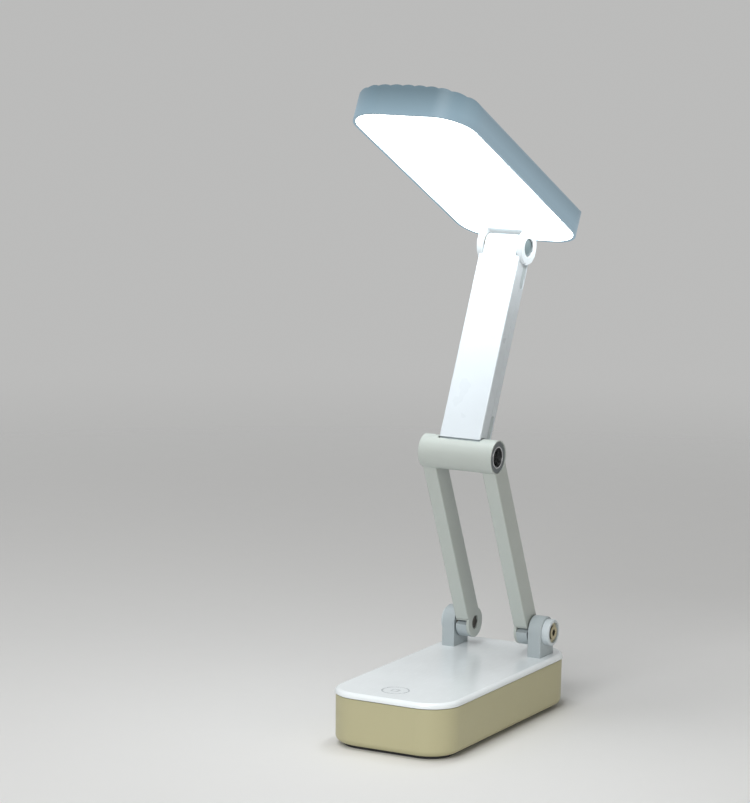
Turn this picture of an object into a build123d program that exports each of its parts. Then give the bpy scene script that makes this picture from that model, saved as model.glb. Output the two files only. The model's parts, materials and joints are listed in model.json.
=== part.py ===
from build123d import *
from math import asin, cos, degrees, radians, sin, sqrt
import os

# A folding rechargeable desk lamp: a flat base, a fork of two legs, an upper arm that folds
# between the legs, and a light head that closes over them. Millimetres and degrees.
# X runs across the lamp along its hinges, -Y is the front, +Z is up, and the origin lies
# on the table under the middle of the base.

# ---------------------------------------------------------------- driving sizes
# base
base_width = 80.0
base_length = 172.0
base_corner = 20.0
base_height = 34.0
foot_show = 2.0
foot_inset = 6.0
foot_sunk = 0.6
foot_edge = 0.3
cover_rim = 3.2
cover_edge = 2.4
cover_plate = 2.4
cover_seam = 0.5
lip_wall = 1.4
lip_depth = 2.5
tub_step = 0.4
tub_wall = 2.0
tub_floor = 2.4
tub_edge = 4.0
tub_taper = 0.6

# base fittings
post_radius = 3.6
post_joint = 18.0
front_post_x = 27.0
front_post_inset = 16.0
rear_post_x = 14.0
rear_post_inset = 10.0
ballast_width = 56.0
ballast_thick = 6.0
ballast_corner = 4.0
ballast_edge = 0.6
ballast_front = 26.0
ballast_rear_gap = 9.2
cell_radius = 9.2
cell_length = 65.0
cell_edge = 0.8
cell_tip_radius = 2.8
cell_tip = 1.2
cradle_floor = 1.5
cradle_saddle = 4.0
cradle_wall = 2.5
cradle_end = 3.0
saddle_inset = 8.0
board_width = 19.0
board_length = 38.0
board_thick = 1.6
board_standoff = 4.5
standoff_radius = 2.4
board_screw_x = 6.0
board_screw_front = 14.0
board_screw_rear = 10.0
socket_width = 9.0
socket_depth = 7.4
socket_height = 3.2
socket_shell = 0.3
socket_back = 1.2
socket_tongue_width = 6.3
socket_tongue_thick = 0.8
touch_x = -3.0
touch_inset = 20.6
touch_radius = 8.3
touch_line = 0.8
touch_mark = 5.2
touch_deep = 0.3
touch_board_width = 30.0
touch_board_length = 16.0
touch_board_thick = 1.2
touch_board_drop = 4.4
touch_boss_reach = 11.0
touch_boss_radius = 2.6
touch_pad_radius = 7.0

# pivot between base and fork
pivot_inset = 25.0
pivot_rise = 14.8
ear_thick = 8.4
ear_radius = 9.4
ear_flange = 3.0
ear_flange_half = 10.0
ear_flange_reach = 11.2
ear_screw_bite = 1.4
ear_screw_in = 4.0
ear_screw_half = 6.0
ear_edge = 0.5
knob_radius = 8.0
knob_height = 4.6
knob_height_left = 1.6
knob_recess = 2.4
knob_edge = 0.9
washer_radius = 6.3
washer_thick = 0.8
bolt_radius = 2.5
thread_radius = 2.0
bolt_head_radius = 4.2
bolt_socket = 2.3
bolt_socket_deep = 1.1
friction_washer = 0.8
friction_radius = 6.5
nut_flats = 7.0
nut_thick = 2.2
nut_sunk = 1.0
thread_play = 0.04

# fork
fork_length = 126.3
fork_lean = 25.1
leg_width = 8.8
leg_start = 5.5
leg_edge = 0.8
leg_groove = 2.0
leg_groove_deep = 0.8
leg_channel = 5.2
leg_channel_deep = 10.0
channel_stop = 3.0
leg_strip = 1.6
knuckle_radius = 9.2
knuckle_shoulder = 3.6
knuckle_tang = 24.0
cheek_thick = 1.6
barrel_radius = 10.2
barrel_wall = 1.5
bushing_length = 4.4
bushing_sunk = 0.5
bushing_rim = 0.7
bushing_play = 0.05
elbow_tube = 6.5
tube_wall = 0.6

# upper arm
arm_length = 131.0
arm_lean = 24.3
arm_width = 27.0
arm_depth = 14.8
arm_gap = 1.9
arm_wall = 1.6
arm_front_wall = 1.8
arm_seam = -1.0
arm_tang = 30.0
arm_neck = 12.0
arm_pad_length = 25.5
arm_top_joint = 7.0
arm_screw_along = 18.0
arm_screw_x = 6.0
elbow_washer = 0.5
elbow_tube_play = 0.04

# head hinge
wrist_tube = 5.9
lug_radius = 10.2
lug_thick = 3.2
lug_neck = 7.0
lug_room = 0.8
wrist_washer = 0.6
wrist_plug = 3.0
wrist_plug_sunk = 0.9
bridge_gap = 0.8

# head
head_tilt = 27.0
head_width = 79.0
head_length = 187.0
head_thick = 16.3
head_corner = 22.0
head_overhang = 25.5
head_drop = 13.9
head_wall = 1.7
head_roof = 2.0
head_crown = 2.2
head_edge = 3.6
head_edge_slip = 0.06
flute_count = 9
flute_rise = 0.7
flute_margin = 5.3
diffuser_thick = 2.0
diffuser_sunk = 0.3
guide_thick = 3.0
reflector_thick = 0.4
backing_thick = 1.0
strip_thick = 1.0
strip_high = 2.6
strip_length = 130.0
led_count = 20
led_length = 3.0
led_deep = 1.0
led_high = 2.0
bracket_plate = 2.0
bracket_along = 18.0
bracket_lift = 8.4
bracket_corner = 4.0
bracket_screw_in = 5.0
boss_radius = 3.0
rib_post_radius = 2.2
rib_post_inset = 8.0
rib_post_spacing = 50.0
rib_post_start = -75.0
rib_post_count = 3
guide_corner_inset = 2.0

# fits and fasteners
run_gap = 0.08
seat_gap = 0.1
slide_gap = 0.2
swing_gap = 0.4
opening_limit = 5.0
screw_radius = 1.3
screw_head = 2.4
screw_head_high = 1.3
small_screw_radius = 1.0
small_screw_head = 2.0
small_screw_head_high = 1.0
screw_end_gap = 1.0
weld = 0.3

# ---------------------------------------------------------------- places worked out
tub_top = base_height - cover_rim - cover_seam
floor_top = foot_show + tub_floor
plate_under = base_height - cover_plate
lip_inset = tub_step + tub_wall + slide_gap
front_post_y = -(base_length / 2 - front_post_inset)
rear_post_y = base_length / 2 - rear_post_inset
touch_y = -(base_length / 2 - touch_inset)
pivot_y = base_length / 2 - pivot_inset
pivot_z = base_height + pivot_rise

leg_inner = arm_width / 2 + arm_gap
leg_outer = leg_inner + leg_width
leg_middle = (leg_inner + leg_outer) / 2
ear_inner = leg_outer + friction_washer + 2 * seat_gap
ear_outer = ear_inner + ear_thick
nut_deep = nut_thick + nut_sunk
nut_corner = nut_flats / 2 / cos(radians(30))

pivot = Vector(0, pivot_y, pivot_z)
fork_dir = Vector(0, -sin(radians(fork_lean)), cos(radians(fork_lean)))
elbow = pivot + fork_dir * fork_length
arm_dir = Vector(0, sin(radians(arm_lean)), cos(radians(arm_lean)))
wrist = elbow + arm_dir * arm_length
head_dir = Vector(0, -cos(radians(head_tilt)), sin(radians(head_tilt)))
head_up = Vector(0, sin(radians(head_tilt)), cos(radians(head_tilt)))

window_half = arm_width / 2 + elbow_washer
elbow_core = window_half - elbow_washer - seat_gap
cavity_radius = barrel_radius - barrel_wall
elbow_hub = cavity_radius - swing_gap
arm_trim = barrel_radius + swing_gap
lug_outer = leg_inner - swing_gap
lug_inner = lug_outer - lug_thick
tongue_half = lug_inner - wrist_washer - 2 * seat_gap
tongue_radius = arm_depth / 2
lug_trim = lug_radius + lug_room

head_middle = head_length / 2 - head_overhang
head_centre = wrist + head_dir * head_middle + head_up * head_drop
roof_under = head_thick - head_roof
guide_low = diffuser_sunk + diffuser_thick + seat_gap
reflector_low = guide_low + guide_thick + seat_gap
backing_low = reflector_low + reflector_thick + seat_gap
stack_top = backing_low + backing_thick + seat_gap
bracket_reach = lug_outer
bracket_low = bracket_lift
bracket_top = bracket_low + bracket_plate
head_inner_half = head_width / 2 - head_wall
strip_face = head_inner_half - seat_gap - strip_thick
guide_half = strip_face - led_deep - seat_gap
hinge_slot_x = 2 * (lug_outer + swing_gap)
hinge_slot_y = 2 * (lug_neck + swing_gap)


# ---------------------------------------------------------------- helpers
def side_plane(point, direction, x=0.0):
    """Plane facing +X through a hinge point, its own x along a link and its y to the link's front."""
    return Plane(origin=(x, point.Y, point.Z), x_dir=direction, z_dir=(1, 0, 0))


def across(x, y, z):
    """Plane facing +X at a point in the lamp's own frame, its own x pointing back and its y up."""
    return Plane(origin=(x, y, z), x_dir=(0, 1, 0), z_dir=(1, 0, 0))


def head_plane(height):
    """Plane parallel to the head's underside, at a height above it, its own y pointing to the rear."""
    return Plane(origin=head_centre + head_up * height, x_dir=(1, 0, 0), z_dir=head_up)


def ring(plane, outer, inner, length):
    """Washer, bushing or tube that stands on a plane."""
    with BuildPart() as piece:
        with BuildSketch(plane):
            Circle(outer)
            Circle(inner, mode=Mode.SUBTRACT)
        extrude(amount=length)
    return piece.part


def flipped(part):
    """Left-hand copy of a right-hand piece."""
    with BuildPart() as piece:
        mirror(part, about=Plane.YZ)
    return piece.part


def screws(plane, points, length, radius, head, head_high, way=1):
    """Group of screws whose heads rest on a plane, with the shanks along its normal, or against it."""
    with BuildPart() as group:
        with BuildSketch(plane):
            with Locations(*points):
                Circle(head)
        extrude(amount=-way * head_high)
        with BuildSketch(plane):
            with Locations(*points):
                Circle(radius)
        extrude(amount=way * length)
    return group.part


def save(part, name):
    part.label = name
    export_step(part, f"parts/{name}.step")


def save_pair(right, name):
    """Write a right-hand piece and its mirror image."""
    save(right, f"{name}_right")
    save(flipped(right), f"{name}_left")


os.makedirs("parts", exist_ok=True)

# ---------------------------------------------------------------- base shell
post_points = [
    (-front_post_x, front_post_y),
    (front_post_x, front_post_y),
    (-rear_post_x, rear_post_y),
    (rear_post_x, rear_post_y),
]
board_rear = base_length / 2 - tub_step - tub_wall - 2 * slide_gap
board_y = board_rear - board_length / 2
flange_inner = ear_inner - ear_flange_reach
flange_screws = [
    (flange_inner + ear_screw_in, pivot_y - ear_screw_half),
    (flange_inner + ear_screw_in, pivot_y + ear_screw_half),
]
ear_screw_points = flange_screws + [(-x, y) for x, y in flange_screws]
board_low = floor_top + board_standoff
board_top = board_low + board_thick
board_posts = [
    (x, board_y + y)
    for x in (-board_screw_x, board_screw_x)
    for y in (-board_screw_front, board_screw_rear)
]
socket_z = board_top + socket_height / 2

with BuildPart() as base_tub:
    with BuildSketch(Plane.XY.offset(tub_top)):
        RectangleRounded(base_width - 2 * tub_step, base_length - 2 * tub_step, base_corner - tub_step)
    extrude(amount=-(tub_top - foot_show), taper=tub_taper)
    fillet(base_tub.faces().sort_by(Axis.Z)[0].edges(), tub_edge)
    with BuildSketch(Plane.XY.offset(tub_top)):
        inset = tub_step + tub_wall
        RectangleRounded(base_width - 2 * inset, base_length - 2 * inset, base_corner - inset)
    extrude(amount=-(tub_top - floor_top), taper=tub_taper, mode=Mode.SUBTRACT)
    with BuildSketch(Plane.XY.offset(floor_top - 0.5 * tub_floor)):
        with Locations(*post_points):
            Circle(post_radius)
    extrude(amount=post_joint - floor_top + 0.5 * tub_floor)
    with BuildSketch(Plane.XY.offset(floor_top - 0.5 * tub_floor)):
        with Locations(*board_posts):
            Circle(standoff_radius)
            Circle(small_screw_radius + run_gap, mode=Mode.SUBTRACT)
    extrude(amount=board_low - floor_top + 0.5 * tub_floor)
    # pad seat, then the screw holes that open into it
    with BuildSketch(Plane.XY.offset(foot_show)):
        inset = foot_inset - slide_gap
        RectangleRounded(base_width - 2 * inset, base_length - 2 * inset, base_corner - inset)
    extrude(amount=foot_sunk, mode=Mode.SUBTRACT)
    with BuildSketch(Plane.XY.offset(foot_show)):
        with Locations(*post_points):
            Circle(screw_head + slide_gap)
    extrude(amount=foot_sunk + screw_head_high + slide_gap, mode=Mode.SUBTRACT)
    with BuildSketch(Plane.XY.offset(foot_show)):
        with Locations(*post_points):
            Circle(screw_radius + slide_gap)
    extrude(amount=post_joint, mode=Mode.SUBTRACT)
    # charging inlet in the rear wall
    with BuildSketch(Plane.XZ.offset(-base_length / 2)):
        with Locations((0, socket_z)):
            RectangleRounded(socket_width + 2 * slide_gap, socket_height + 2 * slide_gap, socket_height / 2)
    extrude(amount=tub_step + 2 * tub_wall, mode=Mode.SUBTRACT)
save(base_tub.part, "base_tub")

with BuildPart() as foot_pad:
    with BuildSketch():
        RectangleRounded(base_width - 2 * foot_inset, base_length - 2 * foot_inset, base_corner - foot_inset)
    extrude(amount=foot_show + foot_sunk)
    fillet(foot_pad.faces().sort_by(Axis.Z)[0].edges(), foot_edge)
save(foot_pad.part, "foot_pad")

with BuildPart() as base_cover:
    with BuildSketch(Plane.XY.offset(base_height - cover_rim)):
        RectangleRounded(base_width, base_length, base_corner)
    extrude(amount=cover_rim)
    fillet(base_cover.faces().sort_by(Axis.Z)[-1].edges(), cover_edge)
    with BuildSketch(Plane.XY.offset(tub_top - lip_depth)):
        RectangleRounded(base_width - 2 * lip_inset, base_length - 2 * lip_inset, base_corner - lip_inset)
    extrude(amount=plate_under - tub_top + lip_depth)
    with BuildSketch(Plane.XY.offset(tub_top - lip_depth)):
        inset = lip_inset + lip_wall
        RectangleRounded(base_width - 2 * inset, base_length - 2 * inset, base_corner - inset)
    extrude(amount=plate_under - tub_top + lip_depth, mode=Mode.SUBTRACT)
    # bosses for the base screws and for the touch board
    with BuildSketch(Plane.XY.offset(post_joint + seat_gap)):
        with Locations(*post_points):
            Circle(post_radius)
    extrude(amount=plate_under - post_joint)
    with BuildSketch(Plane.XY.offset(post_joint + seat_gap)):
        with Locations(*post_points):
            Circle(screw_radius + run_gap)
    extrude(amount=plate_under - post_joint - cover_plate, mode=Mode.SUBTRACT)
    touch_points = [(touch_x - touch_boss_reach, touch_y), (touch_x + touch_boss_reach, touch_y)]
    touch_board_top = plate_under - touch_board_drop
    with BuildSketch(Plane.XY.offset(touch_board_top)):
        with Locations(*touch_points):
            Circle(touch_boss_radius)
            Circle(small_screw_radius + run_gap, mode=Mode.SUBTRACT)
    extrude(amount=touch_board_drop)
    # pilot holes and slots for the ears, and grooves for the touch mark
    with BuildSketch(Plane.XY.offset(plate_under)):
        with Locations(*ear_screw_points):
            Circle(small_screw_radius + run_gap)
    extrude(amount=ear_screw_bite + seat_gap, mode=Mode.SUBTRACT)
    with BuildSketch(Plane.XY.offset(plate_under)):
        with Locations(((ear_inner + ear_outer) / 2, pivot_y), (-(ear_inner + ear_outer) / 2, pivot_y)):
            Rectangle(ear_thick + 2 * seat_gap, 2 * (ear_radius + seat_gap))
    extrude(amount=cover_plate, mode=Mode.SUBTRACT)
    with BuildSketch(Plane.XY.offset(base_height)):
        with Locations((touch_x, touch_y)):
            Circle(touch_radius)
            Circle(touch_radius - touch_line, mode=Mode.SUBTRACT)
            RectangleRounded(touch_mark, touch_mark, 0.3 * touch_mark)
            inner_mark = touch_mark - 2 * touch_line
            RectangleRounded(inner_mark, inner_mark, 0.3 * inner_mark, mode=Mode.SUBTRACT)
    extrude(amount=-touch_deep, mode=Mode.SUBTRACT)
save(base_cover.part, "base_cover")

with BuildPart() as touch_ring:
    with BuildSketch(Plane.XY.offset(base_height - touch_deep)):
        with Locations((touch_x, touch_y)):
            Circle(touch_radius)
            Circle(touch_radius - touch_line, mode=Mode.SUBTRACT)
            RectangleRounded(touch_mark, touch_mark, 0.3 * touch_mark)
            RectangleRounded(inner_mark, inner_mark, 0.3 * inner_mark, mode=Mode.SUBTRACT)
    extrude(amount=touch_deep)
save(touch_ring.part, "touch_ring")

screw_seat = foot_show + foot_sunk + screw_head_high + slide_gap
save(
    screws(
        Plane.XY.offset(screw_seat),
        post_points,
        plate_under - cover_plate - screw_seat - slide_gap,
        screw_radius,
        screw_head,
        screw_head_high,
    ),
    "base_screws",
)

# ---------------------------------------------------------------- inside the base
ballast_low_y = ballast_front - base_length / 2
ballast_high_y = board_y - board_length / 2 - ballast_rear_gap
ballast_length = ballast_high_y - ballast_low_y
ballast_y = (ballast_low_y + ballast_high_y) / 2
with BuildPart() as ballast_plate:
    with BuildSketch(Plane.XY.offset(floor_top)):
        with Locations((0, ballast_y)):
            RectangleRounded(ballast_width, ballast_length, ballast_corner)
    extrude(amount=ballast_thick)
    chamfer(ballast_plate.faces().sort_by(Axis.Z)[-1].edges(), ballast_edge)
save(ballast_plate.part, "ballast_plate")

ballast_top = floor_top + ballast_thick
cell_z = ballast_top + cradle_floor + cell_radius + slide_gap
cradle_width = 2 * (cell_radius + cradle_wall)
saddle_half = cell_length / 2 - saddle_inset
with BuildPart() as battery_cradle:
    with BuildSketch(Plane.XY.offset(ballast_top)):
        with Locations((0, ballast_y)):
            Rectangle(cradle_width, cell_length + 2 * cradle_end)
    extrude(amount=cradle_floor)
    for end in (-1, 1):
        with BuildSketch(Plane.XZ.offset(-(ballast_y + end * saddle_half + cradle_saddle / 2))):
            with Locations((0, (ballast_top + cell_z) / 2)):
                Rectangle(cradle_width, cell_z - ballast_top)
            with Locations((0, cell_z)):
                Circle(cell_radius + seat_gap, mode=Mode.SUBTRACT)
        extrude(amount=cradle_saddle)
save(battery_cradle.part, "battery_cradle")

with BuildPart() as battery_cell:
    with BuildSketch(Plane.XZ.offset(-(ballast_y + cell_length / 2))):
        with Locations((0, cell_z)):
            Circle(cell_radius)
    extrude(amount=cell_length)
    fillet(battery_cell.edges().filter_by(GeomType.CIRCLE), cell_edge)
    with BuildSketch(Plane.XZ.offset(-(ballast_y - cell_length / 2))):
        with Locations((0, cell_z)):
            Circle(cell_tip_radius)
    extrude(amount=cell_tip)
save(battery_cell.part, "battery_cell")

with BuildPart() as main_board:
    with BuildSketch(Plane.XY.offset(board_low)):
        with Locations((0, board_y)):
            Rectangle(board_width, board_length)
        with Locations(*board_posts):
            Circle(small_screw_radius + slide_gap, mode=Mode.SUBTRACT)
    extrude(amount=board_thick)
save(main_board.part, "main_board")

# each component's middle on the board, then its width, length and height
components = [
    (0.0, -4.0, 6.0, 6.0, 1.0),
    (0.0, -14.0, 5.0, 4.0, 1.4),
    (-6.2, -2.5, 3.5, 3.5, 2.2),
    (6.2, -2.5, 3.5, 5.0, 1.6),
    (0.0, 3.6, 7.0, 3.0, 1.2),
]
with BuildPart() as board_parts:
    for x, y, width, length, height in components:
        with BuildSketch(Plane.XY.offset(board_top)):
            with Locations((x, board_y + y)):
                Rectangle(width, length)
        extrude(amount=height)
save(board_parts.part, "board_parts")

save(
    screws(
        Plane.XY.offset(board_top),
        board_posts,
        board_thick + board_standoff - screw_end_gap,
        small_screw_radius,
        small_screw_head,
        small_screw_head_high,
        way=-1,
    ),
    "board_screws",
)

socket_rear = base_length / 2 - tub_step - 2 * slide_gap
with BuildPart() as charging_socket:
    with BuildSketch(Plane.XZ.offset(-socket_rear)):
        with Locations((0, socket_z)):
            RectangleRounded(socket_width, socket_height, 0.45 * socket_height)
    extrude(amount=socket_depth)
    with BuildSketch(Plane.XZ.offset(-socket_rear)):
        with Locations((0, socket_z)):
            inner_high = socket_height - 2 * socket_shell
            RectangleRounded(socket_width - 2 * socket_shell, inner_high, 0.45 * inner_high)
            Rectangle(socket_tongue_width, socket_tongue_thick, mode=Mode.SUBTRACT)
    extrude(amount=socket_depth - socket_back, mode=Mode.SUBTRACT)
save(charging_socket.part, "charging_socket")

touch_board_low = touch_board_top - touch_board_thick
with BuildPart() as touch_board:
    with BuildSketch(Plane.XY.offset(touch_board_low)):
        with Locations((touch_x, touch_y)):
            Rectangle(touch_board_width, touch_board_length)
        with Locations(*touch_points):
            Circle(small_screw_radius + slide_gap, mode=Mode.SUBTRACT)
    extrude(amount=touch_board_thick)
save(touch_board.part, "touch_board")

with BuildPart() as touch_pad:
    with BuildSketch(Plane.XY.offset(touch_board_top)):
        with Locations((touch_x, touch_y)):
            Circle(touch_pad_radius)
    extrude(amount=touch_board_drop)
save(touch_pad.part, "touch_pad")

save(
    screws(
        Plane.XY.offset(touch_board_low),
        touch_points,
        touch_board_thick + touch_board_drop - screw_end_gap,
        small_screw_radius,
        small_screw_head,
        small_screw_head_high,
    ),
    "touch_board_screws",
)

# ---------------------------------------------------------------- ears and pivot
with BuildPart() as ear:
    with BuildSketch(across(ear_inner, pivot_y, pivot_z)):
        Circle(ear_radius)
        with Locations((0, (plate_under - ear_flange - pivot_z) / 2)):
            Rectangle(2 * ear_radius, pivot_z - plate_under + ear_flange)
    extrude(amount=ear_thick)
    with BuildSketch(Plane.XY.offset(plate_under)):
        with Locations(((flange_inner + ear_outer) / 2, pivot_y)):
            Rectangle(ear_outer - flange_inner, 2 * ear_flange_half)
        with Locations(*flange_screws):
            Circle(small_screw_radius + slide_gap, mode=Mode.SUBTRACT)
    extrude(amount=-ear_flange)
    with BuildSketch(across(ear_inner, pivot_y, pivot_z)):
        Circle(bolt_radius + run_gap)
    extrude(amount=ear_thick, mode=Mode.SUBTRACT)
    ear_rims = ear.faces().sort_by(Axis.X)[-1].edges().filter_by(GeomType.CIRCLE)
    chamfer(ear_rims.sort_by(SortBy.RADIUS)[-1], ear_edge)
save(ear.part, "ear_right")

save(
    screws(
        Plane.XY.offset(plate_under - ear_flange),
        ear_screw_points,
        ear_flange + ear_screw_bite,
        small_screw_radius,
        small_screw_head,
        small_screw_head_high,
    ),
    "ear_screws",
)

def recess_room(high):
    """Room for the washer and the bolt's head, sunk from the face of a knob of this height."""
    with BuildPart() as room:
        with BuildSketch(across(ear_outer + high, pivot_y, pivot_z)):
            Circle(washer_radius + seat_gap)
        extrude(amount=-knob_recess)
    return room.part


def pivot_knob(high):
    """Round knob on the outside of an ear, with a recess in its face."""
    with BuildPart() as knob:
        with BuildSketch(across(ear_outer, pivot_y, pivot_z)):
            Circle(knob_radius)
            Circle(bolt_radius + run_gap, mode=Mode.SUBTRACT)
        extrude(amount=high)
        rims = knob.faces().sort_by(Axis.X)[-1].edges()
        fillet(rims.sort_by(SortBy.RADIUS)[-1], knob_edge)
        add(recess_room(high), mode=Mode.SUBTRACT)
    return knob.part


def pivot_washer(high):
    """Washer on the floor of a knob's recess."""
    seat = ear_outer + high - knob_recess
    return ring(across(seat, pivot_y, pivot_z), washer_radius, bolt_radius + run_gap, washer_thick)


def pivot_bolt(high):
    """Bolt from the recess in a knob's face to the nut inside the leg."""
    face = ear_outer + high
    head_seat = face - knob_recess + washer_thick
    with BuildPart() as bolt:
        with BuildSketch(across(leg_inner + nut_deep, pivot_y, pivot_z)):
            Circle(bolt_radius)
        extrude(amount=head_seat - leg_inner - nut_deep)
        with BuildSketch(across(leg_inner + nut_sunk, pivot_y, pivot_z)):
            Circle(thread_radius)
        extrude(amount=nut_thick)
        with BuildSketch(across(head_seat, pivot_y, pivot_z)):
            Circle(bolt_head_radius)
        extrude(amount=knob_recess - washer_thick - seat_gap)
        with BuildSketch(across(face, pivot_y, pivot_z)):
            RegularPolygon(bolt_socket, 6)
        extrude(amount=-bolt_socket_deep, mode=Mode.SUBTRACT)
    return bolt.part


# the left knob is a thin ring, so its washer sits partly in the ear
with BuildPart() as ear_sunk:
    add(ear.part)
    add(recess_room(knob_height_left), mode=Mode.SUBTRACT)
save(flipped(ear_sunk.part), "ear_left")
save(pivot_knob(knob_height), "pivot_knob_right")
save(flipped(pivot_knob(knob_height_left)), "pivot_knob_left")
save(pivot_washer(knob_height), "pivot_washer_right")
save(flipped(pivot_washer(knob_height_left)), "pivot_washer_left")
save(pivot_bolt(knob_height), "pivot_bolt_right")
save(flipped(pivot_bolt(knob_height_left)), "pivot_bolt_left")

friction_low = leg_outer + seat_gap
save_pair(
    ring(across(friction_low, pivot_y, pivot_z), friction_radius, bolt_radius + run_gap, friction_washer),
    "friction_washer",
)

with BuildPart() as nut:
    with BuildSketch(across(leg_inner + nut_deep - nut_thick - seat_gap, pivot_y, pivot_z)):
        RegularPolygon(nut_corner, 6)
        Circle(thread_radius + thread_play, mode=Mode.SUBTRACT)
    extrude(amount=nut_thick)
save_pair(nut.part, "pivot_nut")

# ---------------------------------------------------------------- fork
channel_low = -arm_depth / 2
channel_end = fork_length - barrel_radius - channel_stop
window_edge = degrees(asin(arm_neck / 2 / cavity_radius)) + degrees(swing_gap / cavity_radius)
folded_swing = 180.0 - fork_lean - arm_lean
window_start = 180.0 - window_edge
window_sweep = folded_swing + opening_limit + 2 * window_edge

with BuildPart() as fork_frame:
    with BuildSketch(side_plane(pivot, fork_dir, leg_inner)):
        with Locations(((leg_start + fork_length) / 2, 0)):
            Rectangle(fork_length - leg_start, arm_depth)
    extrude(amount=leg_width)
    fillet(fork_frame.edges().filter_by(Axis((0, 0, 0), fork_dir)), leg_edge)
    with BuildSketch(side_plane(pivot, fork_dir, leg_middle - leg_channel / 2)):
        with Locations(((leg_start + channel_end) / 2, channel_low + leg_channel_deep / 2)):
            Rectangle(channel_end - leg_start, leg_channel_deep)
    extrude(amount=leg_channel, mode=Mode.SUBTRACT)
    # groove across the leg's front, just above its knuckle
    with BuildSketch(side_plane(pivot, fork_dir, leg_inner)):
        with Locations((leg_start + leg_groove / 2, (arm_depth - leg_groove_deep) / 2)):
            Rectangle(leg_groove, leg_groove_deep)
    extrude(amount=leg_width, mode=Mode.SUBTRACT)
    with BuildSketch(side_plane(pivot, fork_dir, leg_inner)):
        Circle(knuckle_radius)
        with Locations((leg_start / 2, 0)):
            Rectangle(leg_start, arm_depth)
    extrude(amount=cheek_thick)
    with BuildSketch(side_plane(pivot, fork_dir, leg_inner)):
        Circle(nut_corner + slide_gap)
    extrude(amount=cheek_thick, mode=Mode.SUBTRACT)
    mirror(about=Plane.YZ)
    with BuildSketch(side_plane(elbow, fork_dir)):
        Circle(barrel_radius)
    extrude(amount=leg_outer, both=True)
    with BuildSketch(side_plane(elbow, fork_dir)):
        Circle(cavity_radius)
    extrude(amount=window_half, both=True, mode=Mode.SUBTRACT)
    with BuildSketch(side_plane(elbow, fork_dir)):
        Circle(elbow_tube + slide_gap)
    extrude(amount=leg_outer, both=True, mode=Mode.SUBTRACT)
    for end in (-1, 1):
        with BuildSketch(side_plane(elbow, fork_dir, end * leg_outer)):
            Circle(barrel_radius - bushing_rim)
        extrude(amount=-end * (bushing_sunk + bushing_length), mode=Mode.SUBTRACT)
    # window at the back and between the legs, where the arm swings
    with BuildSketch(side_plane(elbow, fork_dir)):
        with BuildLine():
            rim_arc = CenterArc((0, 0), 2 * barrel_radius, window_start, window_sweep)
            Line((0, 0), rim_arc @ 0)
            Line(rim_arc @ 1, (0, 0))
        make_face()
    extrude(amount=window_half, both=True, mode=Mode.SUBTRACT)
save(fork_frame.part, "fork_frame")

with BuildPart() as leg_cover:
    with BuildSketch(side_plane(pivot, fork_dir, leg_middle - leg_channel / 2 + seat_gap)):
        with Locations(((leg_start + channel_end) / 2, channel_low + leg_strip / 2)):
            Rectangle(channel_end - leg_start - 2 * seat_gap, leg_strip)
    extrude(amount=leg_channel - 2 * seat_gap)
save_pair(leg_cover.part, "leg_cover")

knuckle_low = leg_inner + cheek_thick + seat_gap
with BuildPart() as knuckle:
    with BuildSketch(side_plane(pivot, fork_dir, knuckle_low)):
        Circle(knuckle_radius)
        with Locations((knuckle_shoulder + knuckle_radius, 0)):
            Rectangle(2 * knuckle_radius, 3 * knuckle_radius, mode=Mode.SUBTRACT)
    extrude(amount=leg_outer - knuckle_low)
    tang_low = channel_low + leg_strip + seat_gap
    tang_high = channel_low + leg_channel_deep - seat_gap
    with BuildSketch(side_plane(pivot, fork_dir, leg_middle - leg_channel / 2 + seat_gap)):
        with Locations((knuckle_tang / 2, (tang_low + tang_high) / 2)):
            Rectangle(knuckle_tang, tang_high - tang_low)
    extrude(amount=leg_channel - 2 * seat_gap)
    with BuildSketch(side_plane(pivot, fork_dir, leg_inner)):
        Circle(bolt_radius + run_gap)
    extrude(amount=leg_width, mode=Mode.SUBTRACT)
    with BuildSketch(side_plane(pivot, fork_dir, leg_inner)):
        Circle(nut_corner + slide_gap)
    extrude(amount=nut_deep, mode=Mode.SUBTRACT)
save_pair(knuckle.part, "fork_knuckle")

bushing_outer = barrel_radius - bushing_rim - bushing_play
bushing_low = leg_outer - bushing_sunk - bushing_length
save_pair(
    ring(side_plane(elbow, fork_dir, bushing_low), bushing_outer, elbow_tube + run_gap, bushing_length),
    "elbow_bushing",
)

# ---------------------------------------------------------------- upper arm
arm_top = arm_length - arm_top_joint
cavity_half = arm_width / 2 - arm_wall
cavity_front = arm_depth / 2 - arm_front_wall
cavity_back = -arm_depth / 2 + arm_front_wall
pad_front = arm_seam - slide_gap
pad_back = cavity_back
pad_round = (pad_front - pad_back) / 2
arm_front = Vector(1, 0, 0).cross(arm_dir)
arm_screw_seat = arm_depth / 2 - small_screw_head_high - seat_gap
arm_screw_plane = Plane(origin=elbow - arm_front * arm_screw_seat, x_dir=(1, 0, 0), z_dir=arm_front)
arm_screw_points = [
    (x, along)
    for x in (-arm_screw_x, arm_screw_x)
    for along in (arm_screw_along, arm_length - arm_screw_along)
]


# room that the arm shell leaves round the fork's barrel and round the head's lugs
with BuildPart() as arm_end_room:
    with BuildSketch(side_plane(elbow, arm_dir)):
        Circle(arm_trim)
    extrude(amount=arm_width, both=True)
    for side in (-1, 1):
        with BuildSketch(side_plane(wrist, arm_dir, side * (tongue_half + seat_gap))):
            Circle(lug_trim)
        extrude(amount=side * arm_width)


def arm_slot(end, way, gap=0.0):
    """Outline of the round-ended slot in the side of the arm at one end, where a hinge tang shows."""
    reach = arm_pad_length - pad_round
    with Locations((end + way * reach / 2, (pad_front + pad_back) / 2)):
        Rectangle(reach, 2 * (pad_round - gap))
    with Locations((end + way * reach, (pad_front + pad_back) / 2)):
        Circle(pad_round - gap)


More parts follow.
